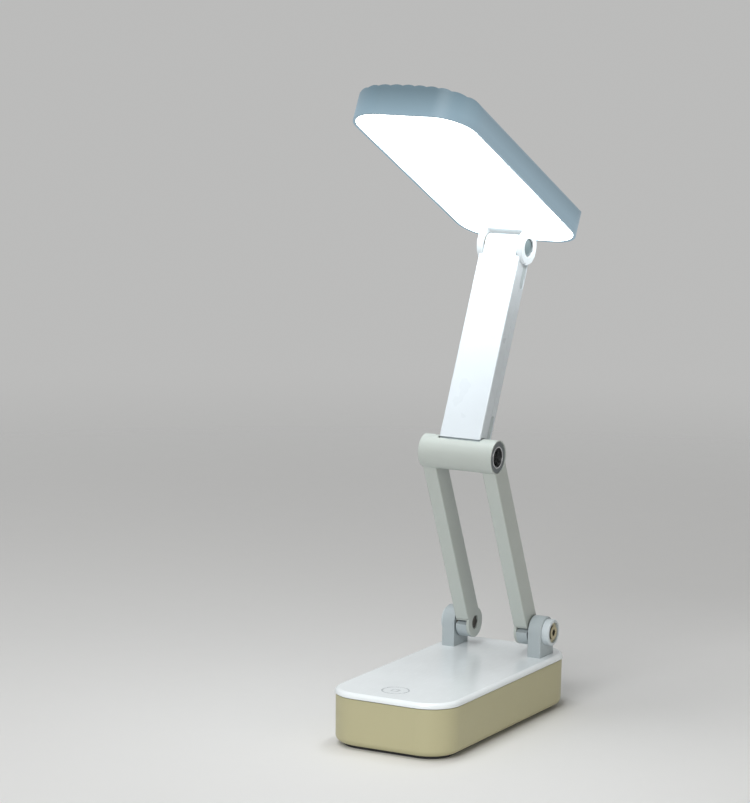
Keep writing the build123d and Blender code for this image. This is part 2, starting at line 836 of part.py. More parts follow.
with BuildPart() as arm_front_shell:
    with BuildSketch(side_plane(elbow, arm_dir)):
        with Locations((arm_top / 2, (arm_seam + arm_depth / 2) / 2)):
            Rectangle(arm_top, arm_depth / 2 - arm_seam)
    extrude(amount=arm_width / 2, both=True)
    long_edges = arm_front_shell.edges().filter_by(Axis((0, 0, 0), arm_dir))
    fillet(long_edges.sort_by(Axis((0, 0, 0), arm_front))[-2:], leg_edge)
    with BuildSketch(side_plane(elbow, arm_dir)):
        with Locations((arm_top / 2, (arm_seam + cavity_front) / 2)):
            Rectangle(arm_top, cavity_front - arm_seam)
    extrude(amount=cavity_half, both=True, mode=Mode.SUBTRACT)
    add(arm_end_room.part, mode=Mode.SUBTRACT)
save(arm_front_shell.part, "arm_front_shell")

with BuildPart() as arm_back_cover:
    with BuildSketch(side_plane(elbow, arm_dir)):
        with Locations((arm_top / 2, (pad_front - arm_depth / 2) / 2)):
            Rectangle(arm_top, arm_depth / 2 + pad_front)
    extrude(amount=arm_width / 2, both=True)
    long_edges = arm_back_cover.edges().filter_by(Axis((0, 0, 0), arm_dir))
    fillet(long_edges.sort_by(Axis((0, 0, 0), arm_front))[:2], leg_edge)
    with BuildSketch(side_plane(elbow, arm_dir)):
        with Locations((arm_top / 2, (pad_front + cavity_back) / 2)):
            Rectangle(arm_top, pad_front - cavity_back)
    extrude(amount=cavity_half, both=True, mode=Mode.SUBTRACT)
    add(arm_end_room.part, mode=Mode.SUBTRACT)
    with BuildSketch(side_plane(elbow, arm_dir)):
        arm_slot(0.0, 1)
        arm_slot(arm_length, -1)
    extrude(amount=arm_width, both=True, mode=Mode.SUBTRACT)
    with BuildSketch(arm_screw_plane):
        with Locations(*arm_screw_points):
            Circle(small_screw_head + slide_gap)
    extrude(amount=-arm_depth, mode=Mode.SUBTRACT)
    with BuildSketch(arm_screw_plane):
        with Locations(*arm_screw_points):
            Circle(small_screw_radius + slide_gap)
    extrude(amount=arm_front_wall, mode=Mode.SUBTRACT)
save(arm_back_cover.part, "arm_back_cover")

tang_half = cavity_half - seat_gap
tang_middle = (cavity_front + cavity_back) / 2
tang_deep = cavity_front - cavity_back - 2 * seat_gap
neck_reach = sqrt((arm_trim - slide_gap) ** 2 - (arm_neck / 2) ** 2)


def arm_tang_block(end, way):
    """Block that fills the end of the arm shell, with the pads that show in its side slots."""
    with BuildPart() as block:
        with BuildSketch(side_plane(elbow, arm_dir)):
            with Locations((end + way * arm_tang / 2, tang_middle)):
                Rectangle(arm_tang, tang_deep)
        extrude(amount=tang_half, both=True)
        with BuildSketch(side_plane(elbow, arm_dir)):
            arm_slot(end, way, slide_gap)
        extrude(amount=arm_width / 2 - slide_gap, both=True)
        with BuildSketch(arm_screw_plane):
            with Locations(*arm_screw_points):
                Circle(small_screw_radius + run_gap)
        extrude(amount=arm_depth / 2, mode=Mode.SUBTRACT)
    return block.part


with BuildPart() as arm_lower_knuckle:
    add(arm_tang_block(0.0, 1))
    with BuildSketch(side_plane(elbow, arm_dir)):
        Circle(arm_trim - slide_gap)
    extrude(amount=arm_width, both=True, mode=Mode.SUBTRACT)
    with BuildSketch(side_plane(elbow, arm_dir)):
        with Locations((arm_trim / 2, tang_middle)):
            Rectangle(arm_trim, tang_deep)
    extrude(amount=tang_half, both=True)
    with BuildSketch(side_plane(elbow, arm_dir)):
        Circle(elbow_hub)
        with Locations((neck_reach / 2, 0)):
            Rectangle(neck_reach, arm_neck)
    extrude(amount=elbow_core, both=True)
    with BuildSketch(side_plane(elbow, arm_dir)):
        Circle(elbow_tube + elbow_tube_play)
    extrude(amount=arm_width, both=True, mode=Mode.SUBTRACT)
save(arm_lower_knuckle.part, "arm_lower_knuckle")

with BuildPart() as arm_upper_knuckle:
    add(arm_tang_block(arm_length, -1))
    with BuildSketch(side_plane(wrist, arm_dir)):
        Circle(lug_trim)
    extrude(amount=arm_width, both=True, mode=Mode.SUBTRACT)
    with BuildSketch(side_plane(wrist, arm_dir)):
        Circle(tongue_radius)
        with Locations(((slide_gap - arm_top_joint) / 2, 0)):
            Rectangle(arm_top_joint - slide_gap, arm_depth)
        with Locations((-lug_trim / 2, tang_middle)):
            Rectangle(lug_trim, tang_deep)
    extrude(amount=tongue_half, both=True)
    with BuildSketch(side_plane(wrist, arm_dir)):
        Circle(wrist_tube + run_gap)
    extrude(amount=arm_width, both=True, mode=Mode.SUBTRACT)
save(arm_upper_knuckle.part, "arm_upper_knuckle")

save(
    screws(
        arm_screw_plane,
        arm_screw_points,
        arm_depth / 2 - screw_end_gap,
        small_screw_radius,
        small_screw_head,
        small_screw_head_high,
    ),
    "arm_screws",
)

elbow_reach = leg_outer - bushing_sunk + slide_gap
save(
    ring(side_plane(elbow, arm_dir, -elbow_reach), elbow_tube, elbow_tube - tube_wall, 2 * elbow_reach),
    "elbow_tube",
)
save_pair(
    ring(
        side_plane(elbow, arm_dir, elbow_core + seat_gap / 2),
        elbow_hub,
        elbow_tube + run_gap,
        elbow_washer,
    ),
    "elbow_washer",
)

# ---------------------------------------------------------------- head hinge
wrist_reach = lug_outer - slide_gap
save(
    ring(side_plane(wrist, head_dir, -wrist_reach), wrist_tube, wrist_tube - tube_wall, 2 * wrist_reach),
    "wrist_tube",
)
with BuildPart() as plug:
    with BuildSketch(side_plane(wrist, head_dir, lug_outer - wrist_plug_sunk - wrist_plug)):
        Circle(wrist_tube - tube_wall - seat_gap)
    extrude(amount=wrist_plug)
save_pair(plug.part, "wrist_plug")
save_pair(
    ring(
        side_plane(wrist, head_dir, tongue_half + seat_gap),
        tongue_radius,
        wrist_tube + run_gap,
        wrist_washer,
    ),
    "wrist_washer",
)

bracket_points = [
    (x, head_middle + y)
    for x in (-(bracket_reach - bracket_screw_in), bracket_reach - bracket_screw_in)
    for y in (-(bracket_along - bracket_screw_in), bracket_along - bracket_screw_in)
]
lug_top = head_drop + bracket_low
bridge_low = tongue_radius + bridge_gap
with BuildPart() as head_bracket:
    with BuildSketch(side_plane(wrist, head_dir, lug_inner)):
        Circle(lug_radius)
        with Locations((0, -lug_top / 2)):
            Rectangle(2 * lug_neck, lug_top)
    extrude(amount=lug_thick)
    mirror(about=Plane.YZ)
    with BuildSketch(side_plane(wrist, head_dir)):
        with Locations((0, -(lug_top + bridge_low) / 2)):
            Rectangle(2 * lug_neck, lug_top - bridge_low)
    extrude(amount=lug_outer, both=True)
    with BuildSketch(head_plane(bracket_low)):
        with Locations((0, head_middle)):
            RectangleRounded(2 * bracket_reach, 2 * bracket_along, bracket_corner)
        with Locations(*bracket_points):
            Circle(small_screw_radius + slide_gap, mode=Mode.SUBTRACT)
    extrude(amount=bracket_plate)
    with BuildSketch(side_plane(wrist, head_dir)):
        Circle(wrist_tube + run_gap)
    extrude(amount=lug_outer, both=True, mode=Mode.SUBTRACT)
save(head_bracket.part, "head_bracket")

save(
    screws(
        head_plane(bracket_low),
        bracket_points,
        roof_under - bracket_low - seat_gap,
        small_screw_radius,
        small_screw_head,
        small_screw_head_high,
    ),
    "bracket_screws",
)

# ---------------------------------------------------------------- head
rib_points = [
    (side * (head_inner_half - rib_post_inset), rib_post_start + index * rib_post_spacing)
    for side in (-1, 1)
    for index in range(rib_post_count)
]
flute_half = head_width / 2 - flute_margin
flute_pitch = 2 * flute_half / flute_count
edge_middle = (head_width / 2 + head_edge_slip - head_edge, head_thick - head_edge)
edge_out = (edge_middle[0] + head_edge, edge_middle[1])
edge_top = (edge_middle[0], head_thick)
edge_in = (flute_half, edge_middle[1] + sqrt(head_edge**2 - (edge_middle[0] - flute_half) ** 2))


def back_height(x):
    """Height of the crowned back over the underside, at the tops of its flutes."""
    return head_thick + head_crown * (1 - (x / flute_half) ** 2)


with BuildPart() as head_shell:
    with BuildSketch(head_plane(0)):
        RectangleRounded(head_width, head_length, head_corner)
    extrude(amount=head_thick + head_crown)
    # crowned back with flutes along it, rounded down to the long sides
    with BuildSketch(Plane(origin=head_centre, x_dir=(1, 0, 0), z_dir=head_dir)):
        with BuildLine():
            Polyline(
                (-edge_out[0], edge_out[1]),
                (-head_width, edge_out[1]),
                (-head_width, -head_thick),
                (head_width, -head_thick),
                (head_width, edge_out[1]),
                edge_out,
            )
            for side in (-1, 1):
                ThreePointArc(
                    (side * edge_in[0], edge_in[1]),
                    (side * edge_top[0], edge_top[1]),
                    (side * edge_out[0], edge_out[1]),
                )
            for index in range(flute_count):
                start = -flute_half + index * flute_pitch
                end = start + flute_pitch
                middle = (start + end) / 2
                start_low = edge_in[1] if index == 0 else back_height(start) - flute_rise
                end_low = edge_in[1] if index == flute_count - 1 else back_height(end) - flute_rise
                ThreePointArc((start, start_low), (middle, back_height(middle)), (end, end_low))
        make_face()
    extrude(amount=head_length, both=True, mode=Mode.INTERSECT)
    with BuildSketch(head_plane(0)):
        RectangleRounded(
            head_width - 2 * head_wall, head_length - 2 * head_wall, head_corner - head_wall
        )
    extrude(amount=roof_under, mode=Mode.SUBTRACT)
    # screw bosses, and posts that press on the backing plate
    with BuildSketch(head_plane(bracket_top + seat_gap)):
        with Locations(*bracket_points):
            Circle(boss_radius)
    extrude(amount=roof_under - bracket_top + weld)
    with BuildSketch(head_plane(bracket_top + seat_gap)):
        with Locations(*bracket_points):
            Circle(small_screw_radius + run_gap)
    extrude(amount=roof_under - bracket_top, mode=Mode.SUBTRACT)
    with BuildSketch(head_plane(stack_top)):
        with Locations(*rib_points):
            Circle(rib_post_radius)
    extrude(amount=roof_under - stack_top + weld)
save(head_shell.part, "head_shell")


def panel(low, thick, half_width, inset, corner):
    """Flat sheet in the head with the slot that the hinge lugs pass through."""
    with BuildPart() as sheet:
        with BuildSketch(head_plane(low)):
            RectangleRounded(2 * half_width, head_length - 2 * inset, corner)
            with Locations((0, head_middle)):
                Rectangle(hinge_slot_x, hinge_slot_y, mode=Mode.SUBTRACT)
        extrude(amount=thick)
    return sheet.part


panel_inset = head_wall + seat_gap
panel_half = head_inner_half - seat_gap
panel_corner = head_corner - panel_inset
save(panel(diffuser_sunk, diffuser_thick, panel_half, panel_inset, panel_corner), "diffuser")
guide_corner = panel_corner - guide_corner_inset
save(panel(guide_low, guide_thick, guide_half, panel_inset, guide_corner), "light_guide")
save(panel(reflector_low, reflector_thick, guide_half, panel_inset, guide_corner), "reflector_sheet")
save(panel(backing_low, backing_thick, panel_half, panel_inset, panel_corner), "backing_plate")

strip_low = guide_low + (guide_thick - strip_high) / 2
with BuildPart() as led_strip:
    with BuildSketch(head_plane(strip_low)):
        with Locations((strip_face + strip_thick / 2, 0)):
            Rectangle(strip_thick, strip_length)
    extrude(amount=strip_high)
save_pair(led_strip.part, "led_strip")

led_pitch = strip_length / led_count
with BuildPart() as leds:
    with BuildSketch(head_plane(guide_low + (guide_thick - led_high) / 2)):
        for index in range(led_count):
            with Locations((strip_face - led_deep / 2, (index + 0.5) * led_pitch - strip_length / 2)):
                Rectangle(led_deep, led_length)
    extrude(amount=led_high)
save_pair(leds.part, "leds")
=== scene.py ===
"""Finish and stage of a folding rechargeable desk lamp."""

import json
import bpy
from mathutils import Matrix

bl_info = {
    "name": "Folding Desk Lamp",
    "version": (1, 0, 0),
    "blender": (4, 5, 0),
    "location": "3D View > Sidebar > Desk Lamp",
    "description": "Dresses the packed model of a folding desk lamp and sets its stage",
    "category": "Object",
}

from math import cos, radians, sin

import bmesh
import bpy
from bpy.props import FloatProperty, FloatVectorProperty, PointerProperty
from bpy.types import Operator, Panel, PropertyGroup
from mathutils import Matrix, Vector

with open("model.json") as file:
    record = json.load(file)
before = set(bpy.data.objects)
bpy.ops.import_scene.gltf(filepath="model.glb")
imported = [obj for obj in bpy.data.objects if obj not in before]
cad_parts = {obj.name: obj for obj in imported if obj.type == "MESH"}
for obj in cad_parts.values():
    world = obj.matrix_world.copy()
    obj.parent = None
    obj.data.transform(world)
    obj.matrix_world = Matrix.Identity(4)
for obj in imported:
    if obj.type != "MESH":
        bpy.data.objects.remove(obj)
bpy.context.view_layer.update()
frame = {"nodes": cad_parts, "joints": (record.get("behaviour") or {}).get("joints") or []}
MM = 0.001


def joint_place(name):
    """Point on a joint's axis, in the lamp's own frame."""
    for joint in frame["joints"]:
        if joint["name"] == name:
            return Vector(joint["pos_m"])
    raise ValueError(f"the frame has no joint named {name}")


# the head at rest: its slope, the middle of its rim, half its width and its wall's height
HEAD_SLOPE = radians(-27)
RIM_FROM_WRIST = 13.9 * MM
HEAD_UP = Vector((0.0, -sin(HEAD_SLOPE), cos(HEAD_SLOPE)))
HEAD_RIM = joint_place("head_tilt") + HEAD_UP * RIM_FROM_WRIST
HEAD_HALF = 39.5 * MM
HEAD_THICK = 16.3 * MM

# how far out the faces of the pivot's bolts lie, and the depth over which they turn dark, a painted
# shade for the socket and the bore below the face
BOLT_FACE_RIGHT = 38.1 * MM
BOLT_FACE_LEFT = 35.1 * MM
BRASS_DEPTH = 0.2 * MM
DARK_DEPTH = 0.5 * MM

# stretch of a noise's values that a ramp usually covers
NOISE_LOW = 0.3
NOISE_HIGH = 0.7
BEVEL_SAMPLES = 6
# how much lighter edges are painted: a painted highlight
EDGE_HIGHLIGHT = 1.06

# colours of pieces that are small or inside
PAD_BLACK = (0.05, 0.05, 0.055)
FOAM_BLACK = (0.06, 0.06, 0.062)
CRADLE_BLACK = (0.035, 0.035, 0.037)
COMPONENT_BLACK = (0.02, 0.02, 0.022)
FIBRE_BROWN = (0.10, 0.085, 0.07)
CELL_BLUE = (0.04, 0.16, 0.34)
MASK_GREEN = (0.01, 0.09, 0.035)
TRACK_GREEN = (0.18, 0.3, 0.08)
STRIP_WHITE = (0.75, 0.75, 0.75)
STRIP_GOLD = (0.6, 0.5, 0.3)
PHOSPHOR_YELLOW = (0.8, 0.66, 0.2)
FILM_WHITE = (0.86, 0.86, 0.86)
OPAL_WHITE = (0.9, 0.91, 0.9)
CLEAR = (1.0, 1.0, 1.0)
CLEAR_DOT = (0.9, 0.94, 0.94)
IRON_PIT = (0.08, 0.08, 0.085)
IRON_SKIN = (0.2, 0.2, 0.21)
SCREW_ZINC = (0.56, 0.56, 0.58)
SMALL_SCREW_ZINC = (0.55, 0.55, 0.57)
INLET_ZINC = (0.62, 0.62, 0.64)
BACKING_ZINC = (0.7, 0.7, 0.72)
TUBE_STEEL = (0.78, 0.79, 0.8)
NUT_DARK = (0.07, 0.065, 0.06)
BOLT_DARK = (0.07, 0.065, 0.045)
# painted shade for the bolts below their faces, in the socket and the bore
SOCKET_SHADE_LOW, SOCKET_SHADE_HIGH = (0.03, 0.028, 0.02), (0.05, 0.045, 0.03)
BRASS_LOW, BRASS_HIGH = (0.42, 0.37, 0.23), (0.56, 0.50, 0.33)
WASHER_BRASS = (0.74, 0.69, 0.50)

# the stage, in metres
FLOOR_SIDES = 96
FADE_START = 0.35
FADE_END = 1.5
LIGHT_TARGET = Vector((0.0, 0.0, 0.2))
LIGHT_SIZE = 1.2
KEY_PLACE = Vector((0.2, -1.9, 1.3))
TOP_PLACE = Vector((-0.3, -0.4, 2.2))
FILL_PLACE = Vector((1.9, -0.5, 0.5))
WHITE = (1.0, 1.0, 1.0)
WARM = (1.0, 0.95, 0.85)

# the camera, fitted to the photograph
CAMERA_YAW = radians(28.46)
CAMERA_PITCH = radians(8.82)
CAMERA_ROLL = radians(0.95)
CAMERA_TARGET = Vector((-55.19, 0.0, 190.66)) * MM
CAMERA_DISTANCE = 1919.42 * MM
CAMERA_REACH = 20.0
SENSOR_WIDTH_MM = 36.0
LENS_MM = 143.76


# ---------------------------------------------------------------- what a user would change
def colour(name, description, default):
    return FloatVectorProperty(
        name=name,
        description=description,
        subtype="COLOR",
        size=3,
        min=0.0,
        max=1.0,
        default=default,
    )


def length(name, description, default, top):
    return FloatProperty(
        name=name,
        description=description,
        unit="LENGTH",
        min=0.0,
        max=top,
        precision=5,
        default=default,
    )


def amount(name, description, default, top=1.0):
    return FloatProperty(name=name, description=description, min=0.0, max=top, default=default)


class LampColours(PropertyGroup):
    # painted shade: the fork's pale plastic is given the darker grey it shows in shade
    fork_plastic_and_shade: colour("Fork", "Satin plastic of the legs and the elbow", (0.49, 0.53, 0.50))
    arm_plastic: colour("Upper arm", "Satin plastic of the arm's shells", (0.68, 0.735, 0.775))
    knuckle_plastic: colour("Knuckles", "Plastic of the arm's knuckles", (0.50, 0.56, 0.58))
    # painted shade: the ears' and the fork knuckles' pale plastic is given a darker grey
    ear_plastic_and_shade: colour("Ears", "Plastic of the posts and the legs' feet", (0.42, 0.475, 0.495))
    # painted light and shade: the knobs' pale plastic is given a grey lighter than the ears, as on
    # their lit faces
    knob_plastic_and_shade: colour("Knobs", "Plastic of the two knobs at the pivot", (0.60, 0.66, 0.69))
    cover_plastic: colour("Base cover", "Polished plastic of the base's top", (0.88, 0.93, 0.95))
    # painted light: the cream is warm bounced light and shade painted over an off-white plastic
    tub_plastic: colour("Base tub", "Satin plastic of the base's sides", (0.49, 0.46, 0.28))
    # painted shade: the head's plastic is given the dark blue-grey of its wall in shade
    head_plastic: colour("Head", "Plastic of the light head's shell", (0.10, 0.16, 0.195))
    # painted shade: the lugs' pale plastic is given a darker grey
    bracket_plastic_and_shade: colour("Head bracket", "Plastic of the head's hinge lugs", (0.34, 0.38, 0.40))
    plug_plastic: colour("Wrist plugs", "Plugs in the ends of the wrist's tube", (0.10, 0.14, 0.15))
    bushing_plastic: colour("Bushings", "Dark rings at the ends of the elbow", (0.13, 0.15, 0.16))
    panel_light: colour("Panel light", "Light of the diffuser", (0.93, 0.98, 1.0))
    # painted glow: colour of the light painted onto the head's wall, which is no lamp
    painted_glow_tint: colour("Leaked light", "Light through the head's plastic", (0.62, 0.84, 1.0))
    touch_print: colour("Touch mark", "Print of the touch mark", (0.36, 0.41, 0.44))


class LampFinish(PropertyGroup):
    edge_softness: length("Edge softness", "Radius that the light sees on edges", 0.35 * MM, 0.002)
    grain_size: length("Grain size", "Spacing of satin plastic's fine grain", 0.35 * MM, 0.005)
    grain_depth: length("Grain depth", "Depth of satin plastic's grain", 0.006 * MM, 0.0005)
    panel_strength: amount("Panel strength", "Strength of the diffuser's light", 7.0, 20.0)
    # strength of the painted glow on the head's wall
    painted_wall_glow: amount("Wall glow", "Light that leaks through the head's wall", 0.34)
    # strength of the painted glow on the hinge lugs
    painted_lug_glow: amount("Lug glow", "Light that leaks through the hinge lugs", 0.42)


class LampStage(PropertyGroup):
    floor_colour: colour("Floor", "Colour of the plain floor", (0.80, 0.80, 0.79))
    backdrop_colour: colour("Backdrop", "Colour behind the floor", (0.50, 0.50, 0.495))
    key_power: amount("Key light", "Power of the light at the front, in watts", 26.0, 500.0)
    top_power: amount("Top light", "Power of the light overhead, in watts", 16.0, 500.0)
    fill_power: amount("Fill light", "Power of the light at the right, in watts", 5.5, 500.0)
    sky_strength: amount("Room light", "Strength of the even light all round", 0.16, 5.0)


# ---------------------------------------------------------------- node trees
def opaque(value):
    """A colour or a grey as the four channels of a node's socket."""
    return (*value, 1.0) if hasattr(value, "__len__") else (value, value, value, 1.0)


class NodeGraph:
    """A node tree, with short calls to add and join nodes."""

    def __init__(self, tree):
        self.tree = tree

    def add(self, kind, **settings):
        node = self.tree.nodes.new(kind)
        for name, value in settings.items():
            setattr(node, name, value)
        return node

    def join(self, source, target):
        self.tree.links.new(source, target)

    def blend_shaders(self, factor, first, second, output):
        """Output of two shaders blended by a factor socket."""
        blend = self.add("ShaderNodeMixShader")
        for source, target in zip((factor, first, second), blend.inputs):
            self.join(source, target)
        self.join(blend.outputs["Shader"], self.tree.nodes[output].inputs["Surface"])


class MaterialGraph(NodeGraph):
    """The node tree of a new material."""

    def __init__(self, name):
        self.material = bpy.data.materials.new(name)
        self.material.use_nodes = True
        super().__init__(self.material.node_tree)
        self.shader = self.tree.nodes["Principled BSDF"]

    def set(self, **values):
        """Values on the shader's own sockets, an underscore in a name standing for a space."""
        for name, value in values.items():
            self.shader.inputs[name.replace("_", " ")].default_value = value

    def link(self, **sources):
        """Sources of the shader's own sockets, named as in set."""
        for name, source in sources.items():
            self.join(source, self.shader.inputs[name.replace("_", " ")])

    def place(self):
        return self.add("ShaderNodeTexCoord").outputs["Object"]

    def axis(self, place, letter):
        """One coordinate of a place."""
        parts = self.add("ShaderNodeSeparateXYZ")
        self.join(place, parts.inputs["Vector"])
        return parts.outputs[letter]

    def sideways(self, place):
        """Distance to the lamp's middle plane."""
        distance = self.add("ShaderNodeMath", operation="ABSOLUTE")
        self.join(self.axis(place, "X"), distance.inputs[0])
        return distance.outputs["Value"]

    def spread(self, source, start, end, curve="LINEAR"):
        """Share of the way from one value to another."""
        node = self.add("ShaderNodeMapRange", interpolation_type=curve)
        node.inputs["From Min"].default_value = start
        node.inputs["From Max"].default_value = end
        self.join(source, node.inputs["Value"])
        return node.outputs["Result"]

    def noise(self, spacing, detail=2.0, roughness=0.5, stretch=(1.0, 1.0, 1.0)):
        """Noise whose features lie about this far apart, in metres, or longer along an axis."""
        texture = self.add("ShaderNodeTexNoise")
        texture.inputs["Scale"].default_value = 1.0
        texture.inputs["Detail"].default_value = detail
        texture.inputs["Roughness"].default_value = roughness
        mapping = self.add("ShaderNodeMapping")
        mapping.inputs["Scale"].default_value = [factor / spacing for factor in stretch]
        self.join(self.place(), mapping.inputs["Vector"])
        self.join(mapping.outputs["Vector"], texture.inputs["Vector"])
        return texture.outputs["Fac"]

    def ramp(self, source, low, high, low_at=NOISE_LOW, high_at=NOISE_HIGH):
        """Colours or greys spread over a stretch of a value."""
        node = self.add("ShaderNodeValToRGB")
        stops = ((low_at, low), (high_at, high))
        for element, (position, value) in zip(node.color_ramp.elements, stops):
            element.position = position
            element.color = opaque(value)
        self.join(source, node.inputs["Fac"])
        return node.outputs["Color"]

    def bump(self, height, depth, strength=1.0, normal=None):
        node = self.add("ShaderNodeBump")
        node.inputs["Distance"].default_value = depth
        node.inputs["Strength"].default_value = strength
        self.join(height, node.inputs["Height"])
        if normal is not None:
            self.join(normal, node.inputs["Normal"])
        return node.outputs["Normal"]

    def soft_edges(self, radius):
        node = self.add("ShaderNodeBevel", samples=BEVEL_SAMPLES)
        node.inputs["Radius"].default_value = radius
        return node.outputs["Normal"]

    def edge_mask(self, radius):
        """White near sharp edges and black on open faces."""
        dot = self.add("ShaderNodeVectorMath", operation="DOT_PRODUCT")
        self.join(self.soft_edges(radius), dot.inputs[0])
        self.join(self.add("ShaderNodeNewGeometry").outputs["Normal"], dot.inputs[1])
        return self.ramp(dot.outputs["Value"], 1.0, 0.0, low_at=0.86, high_at=0.995)

    def mix(self, factor, first, second):
        """Blend of two colours, each a socket or a plain colour, by a factor socket."""
        node = self.add("ShaderNodeMix", data_type="RGBA")
        self.join(factor, node.inputs["Factor"])
        for value, socket in ((first, node.inputs["A"]), (second, node.inputs["B"])):
            if isinstance(value, bpy.types.NodeSocket):
                self.join(value, socket)
            else:
                socket.default_value = opaque(value)
        return node.outputs["Result"]


# ---------------------------------------------------------------- materials
def tinted(base, factor):
    """A colour made lighter or darker."""
    return tuple(min(1.0, channel * factor) for channel in base)


def moulded_plastic(name, base, roughness, grain=1.0):
    """Injection-moulded plastic: fine grain, slight mottling, rounded edges that catch the light
    and a painted highlight that makes the colour lighter near edges.
    """
    finish = bpy.context.scene.lamp_finish
    graph = MaterialGraph(name)
    graph.set(IOR=1.49)
    clouds = graph.noise(18 * MM, detail=3.0, roughness=0.6)
    mottling = graph.ramp(clouds, tinted(base, 0.98), tinted(base, 1.015), 0.15, 0.85)
    # painted highlight: the colour is lighter near sharp edges
    edges = graph.edge_mask(1.6 * finish.edge_softness)
    graph.link(Base_Color=graph.mix(edges, mottling, tinted(base, EDGE_HIGHLIGHT)))
    handling = graph.noise(14 * MM)
    graph.link(Roughness=graph.ramp(handling, roughness - 0.02, roughness + 0.025, 0.15, 0.85))
    fine = graph.noise(finish.grain_size, roughness=0.6)
    rounded = graph.soft_edges(finish.edge_softness)
    graph.link(Normal=graph.bump(fine, grain * finish.grain_depth, 0.8, rounded))
    return graph


def painted_glow_wall(name, base, roughness):
    """Moulded plastic of the head's wall with a painted glow, emission that stands in for the
    panel's light on the wall.

    Along the long sides, which have the LED strips behind them, the painted glow is even.
    At the ends it fades from the rim to the back, a painted shading that is darker towards the top.
    """
    scene = bpy.context.scene
    graph = moulded_plastic(name, base, roughness)
    in_head = graph.add("ShaderNodeMapping", vector_type="TEXTURE")
    in_head.inputs["Location"].default_value = HEAD_RIM
    in_head.inputs["Rotation"].default_value = (HEAD_SLOPE, 0.0, 0.0)
    graph.join(graph.place(), in_head.inputs["Vector"])
    place = in_head.outputs["Vector"]
    height = graph.spread(graph.axis(place, "Z"), 0.0, HEAD_THICK)
    at_side = graph.spread(graph.sideways(place), 0.45 * HEAD_HALF, 0.97 * HEAD_HALF)
    light = tuple(scene.lamp_colours.painted_glow_tint)
    ends = graph.ramp(height, tinted(light, 0.8), tinted(light, 0.15), 0.0, 0.95)
    sides = graph.ramp(height, tinted(light, 0.9), tinted(light, 0.55), 0.3, 1.0)
    # painted glow: lighter near the rim and along the long sides, darker towards the top
    graph.link(Emission_Color=graph.mix(at_side, ends, sides))
    graph.set(Emission_Strength=scene.lamp_finish.painted_wall_glow)
    return graph


def painted_glow_lugs(name, base, roughness):
    """Pale plastic beside the panel, with a painted glow that stands in for the panel's light on
    it.
    """
    scene = bpy.context.scene
    graph = moulded_plastic(name, base, roughness)
    light = tuple(scene.lamp_colours.panel_light)
    clouds = graph.noise(8 * MM, detail=1.0)
    # painted glow on the lugs, though they are no lamp
    graph.link(Emission_Color=graph.ramp(clouds, tinted(light, 0.95), light))
    graph.set(Emission_Strength=scene.lamp_finish.painted_lug_glow)
    return graph


def polished_plastic(name, base, roughness):
    """Polished plastic with a very faint waviness and fine handling marks."""
    finish = bpy.context.scene.lamp_finish
    graph = MaterialGraph(name)
    graph.set(IOR=1.5, Coat_Weight=0.35, Coat_Roughness=0.05)
    clouds = graph.noise(25 * MM)
    graph.link(Base_Color=graph.ramp(clouds, tinted(base, 0.98), tinted(base, 1.01), 0.35, 0.65))
    marks = graph.noise(1.2 * MM, detail=5.0, roughness=0.75, stretch=(1.0, 0.12, 1.0))
    graph.link(Roughness=graph.ramp(marks, roughness - 0.03, roughness + 0.08, 0.45, 0.75))
    waves = graph.noise(9 * MM, detail=1.0)
    rounded = graph.soft_edges(finish.edge_softness)
    graph.link(Normal=graph.bump(waves, 0.01 * MM, 0.5, rounded))
    return graph


def turned_metal(name, base, roughness, metallic=1.0):
    """Turned or plated metal with fine rings about X, the hinge axes' direction."""
    finish = bpy.context.scene.lamp_finish
    graph = MaterialGraph(name)
    graph.set(Metallic=metallic)
    tarnish = graph.noise(2.5 * MM, detail=4.0, roughness=0.65)
    graph.link(Base_Color=graph.ramp(tarnish, tinted(base, 0.78), tinted(base, 1.08)))
    graph.link(Roughness=graph.ramp(tarnish, roughness + 0.1, roughness - 0.04))
    rings = graph.noise(0.12 * MM, detail=1.0, stretch=(1.0, 0.05, 0.05))
    rounded = graph.soft_edges(0.5 * finish.edge_softness)
    graph.link(Normal=graph.bump(rings, 0.002 * MM, 0.5, rounded))
    return graph


def brass_head(name, face):
    """Bolt of dark plated metal whose head is brass round its socket where X is this far out;
    deeper than the face it is painted darker, painted shade in the socket and the bore.
    """
    graph = turned_metal(name, BOLT_DARK, roughness=0.4, metallic=0.4)
    sideways = graph.sideways(graph.place())
    at_face = graph.spread(sideways, face - DARK_DEPTH, face - BRASS_DEPTH)
    tarnish = graph.noise(2.5 * MM, detail=4.0, roughness=0.65)
    # painted shade below the bolt's face
    dark = graph.ramp(tarnish, SOCKET_SHADE_LOW, SOCKET_SHADE_HIGH)
    brass = graph.ramp(tarnish, BRASS_LOW, BRASS_HIGH)
    graph.link(Base_Color=graph.mix(at_face, dark, brass))
    return graph


def soft_rubber(name, base):
    """Matt silicone with a fine pebble and dust in its grain."""
    graph = MaterialGraph(name)
    graph.set(Specular_IOR_Level=0.3, Sheen_Weight=0.15, Sheen_Roughness=0.5)
    dust = graph.noise(4 * MM, detail=5.0, roughness=0.7)
    graph.link(Base_Color=graph.ramp(dust, tinted(base, 0.85), tinted(base, 1.6), 0.4, 0.8))
    graph.link(Roughness=graph.ramp(dust, 0.72, 0.88))
    pebble = graph.noise(0.5 * MM, detail=3.0, roughness=0.6)
    graph.link(Normal=graph.bump(pebble, 0.02 * MM, 0.8))
    return graph


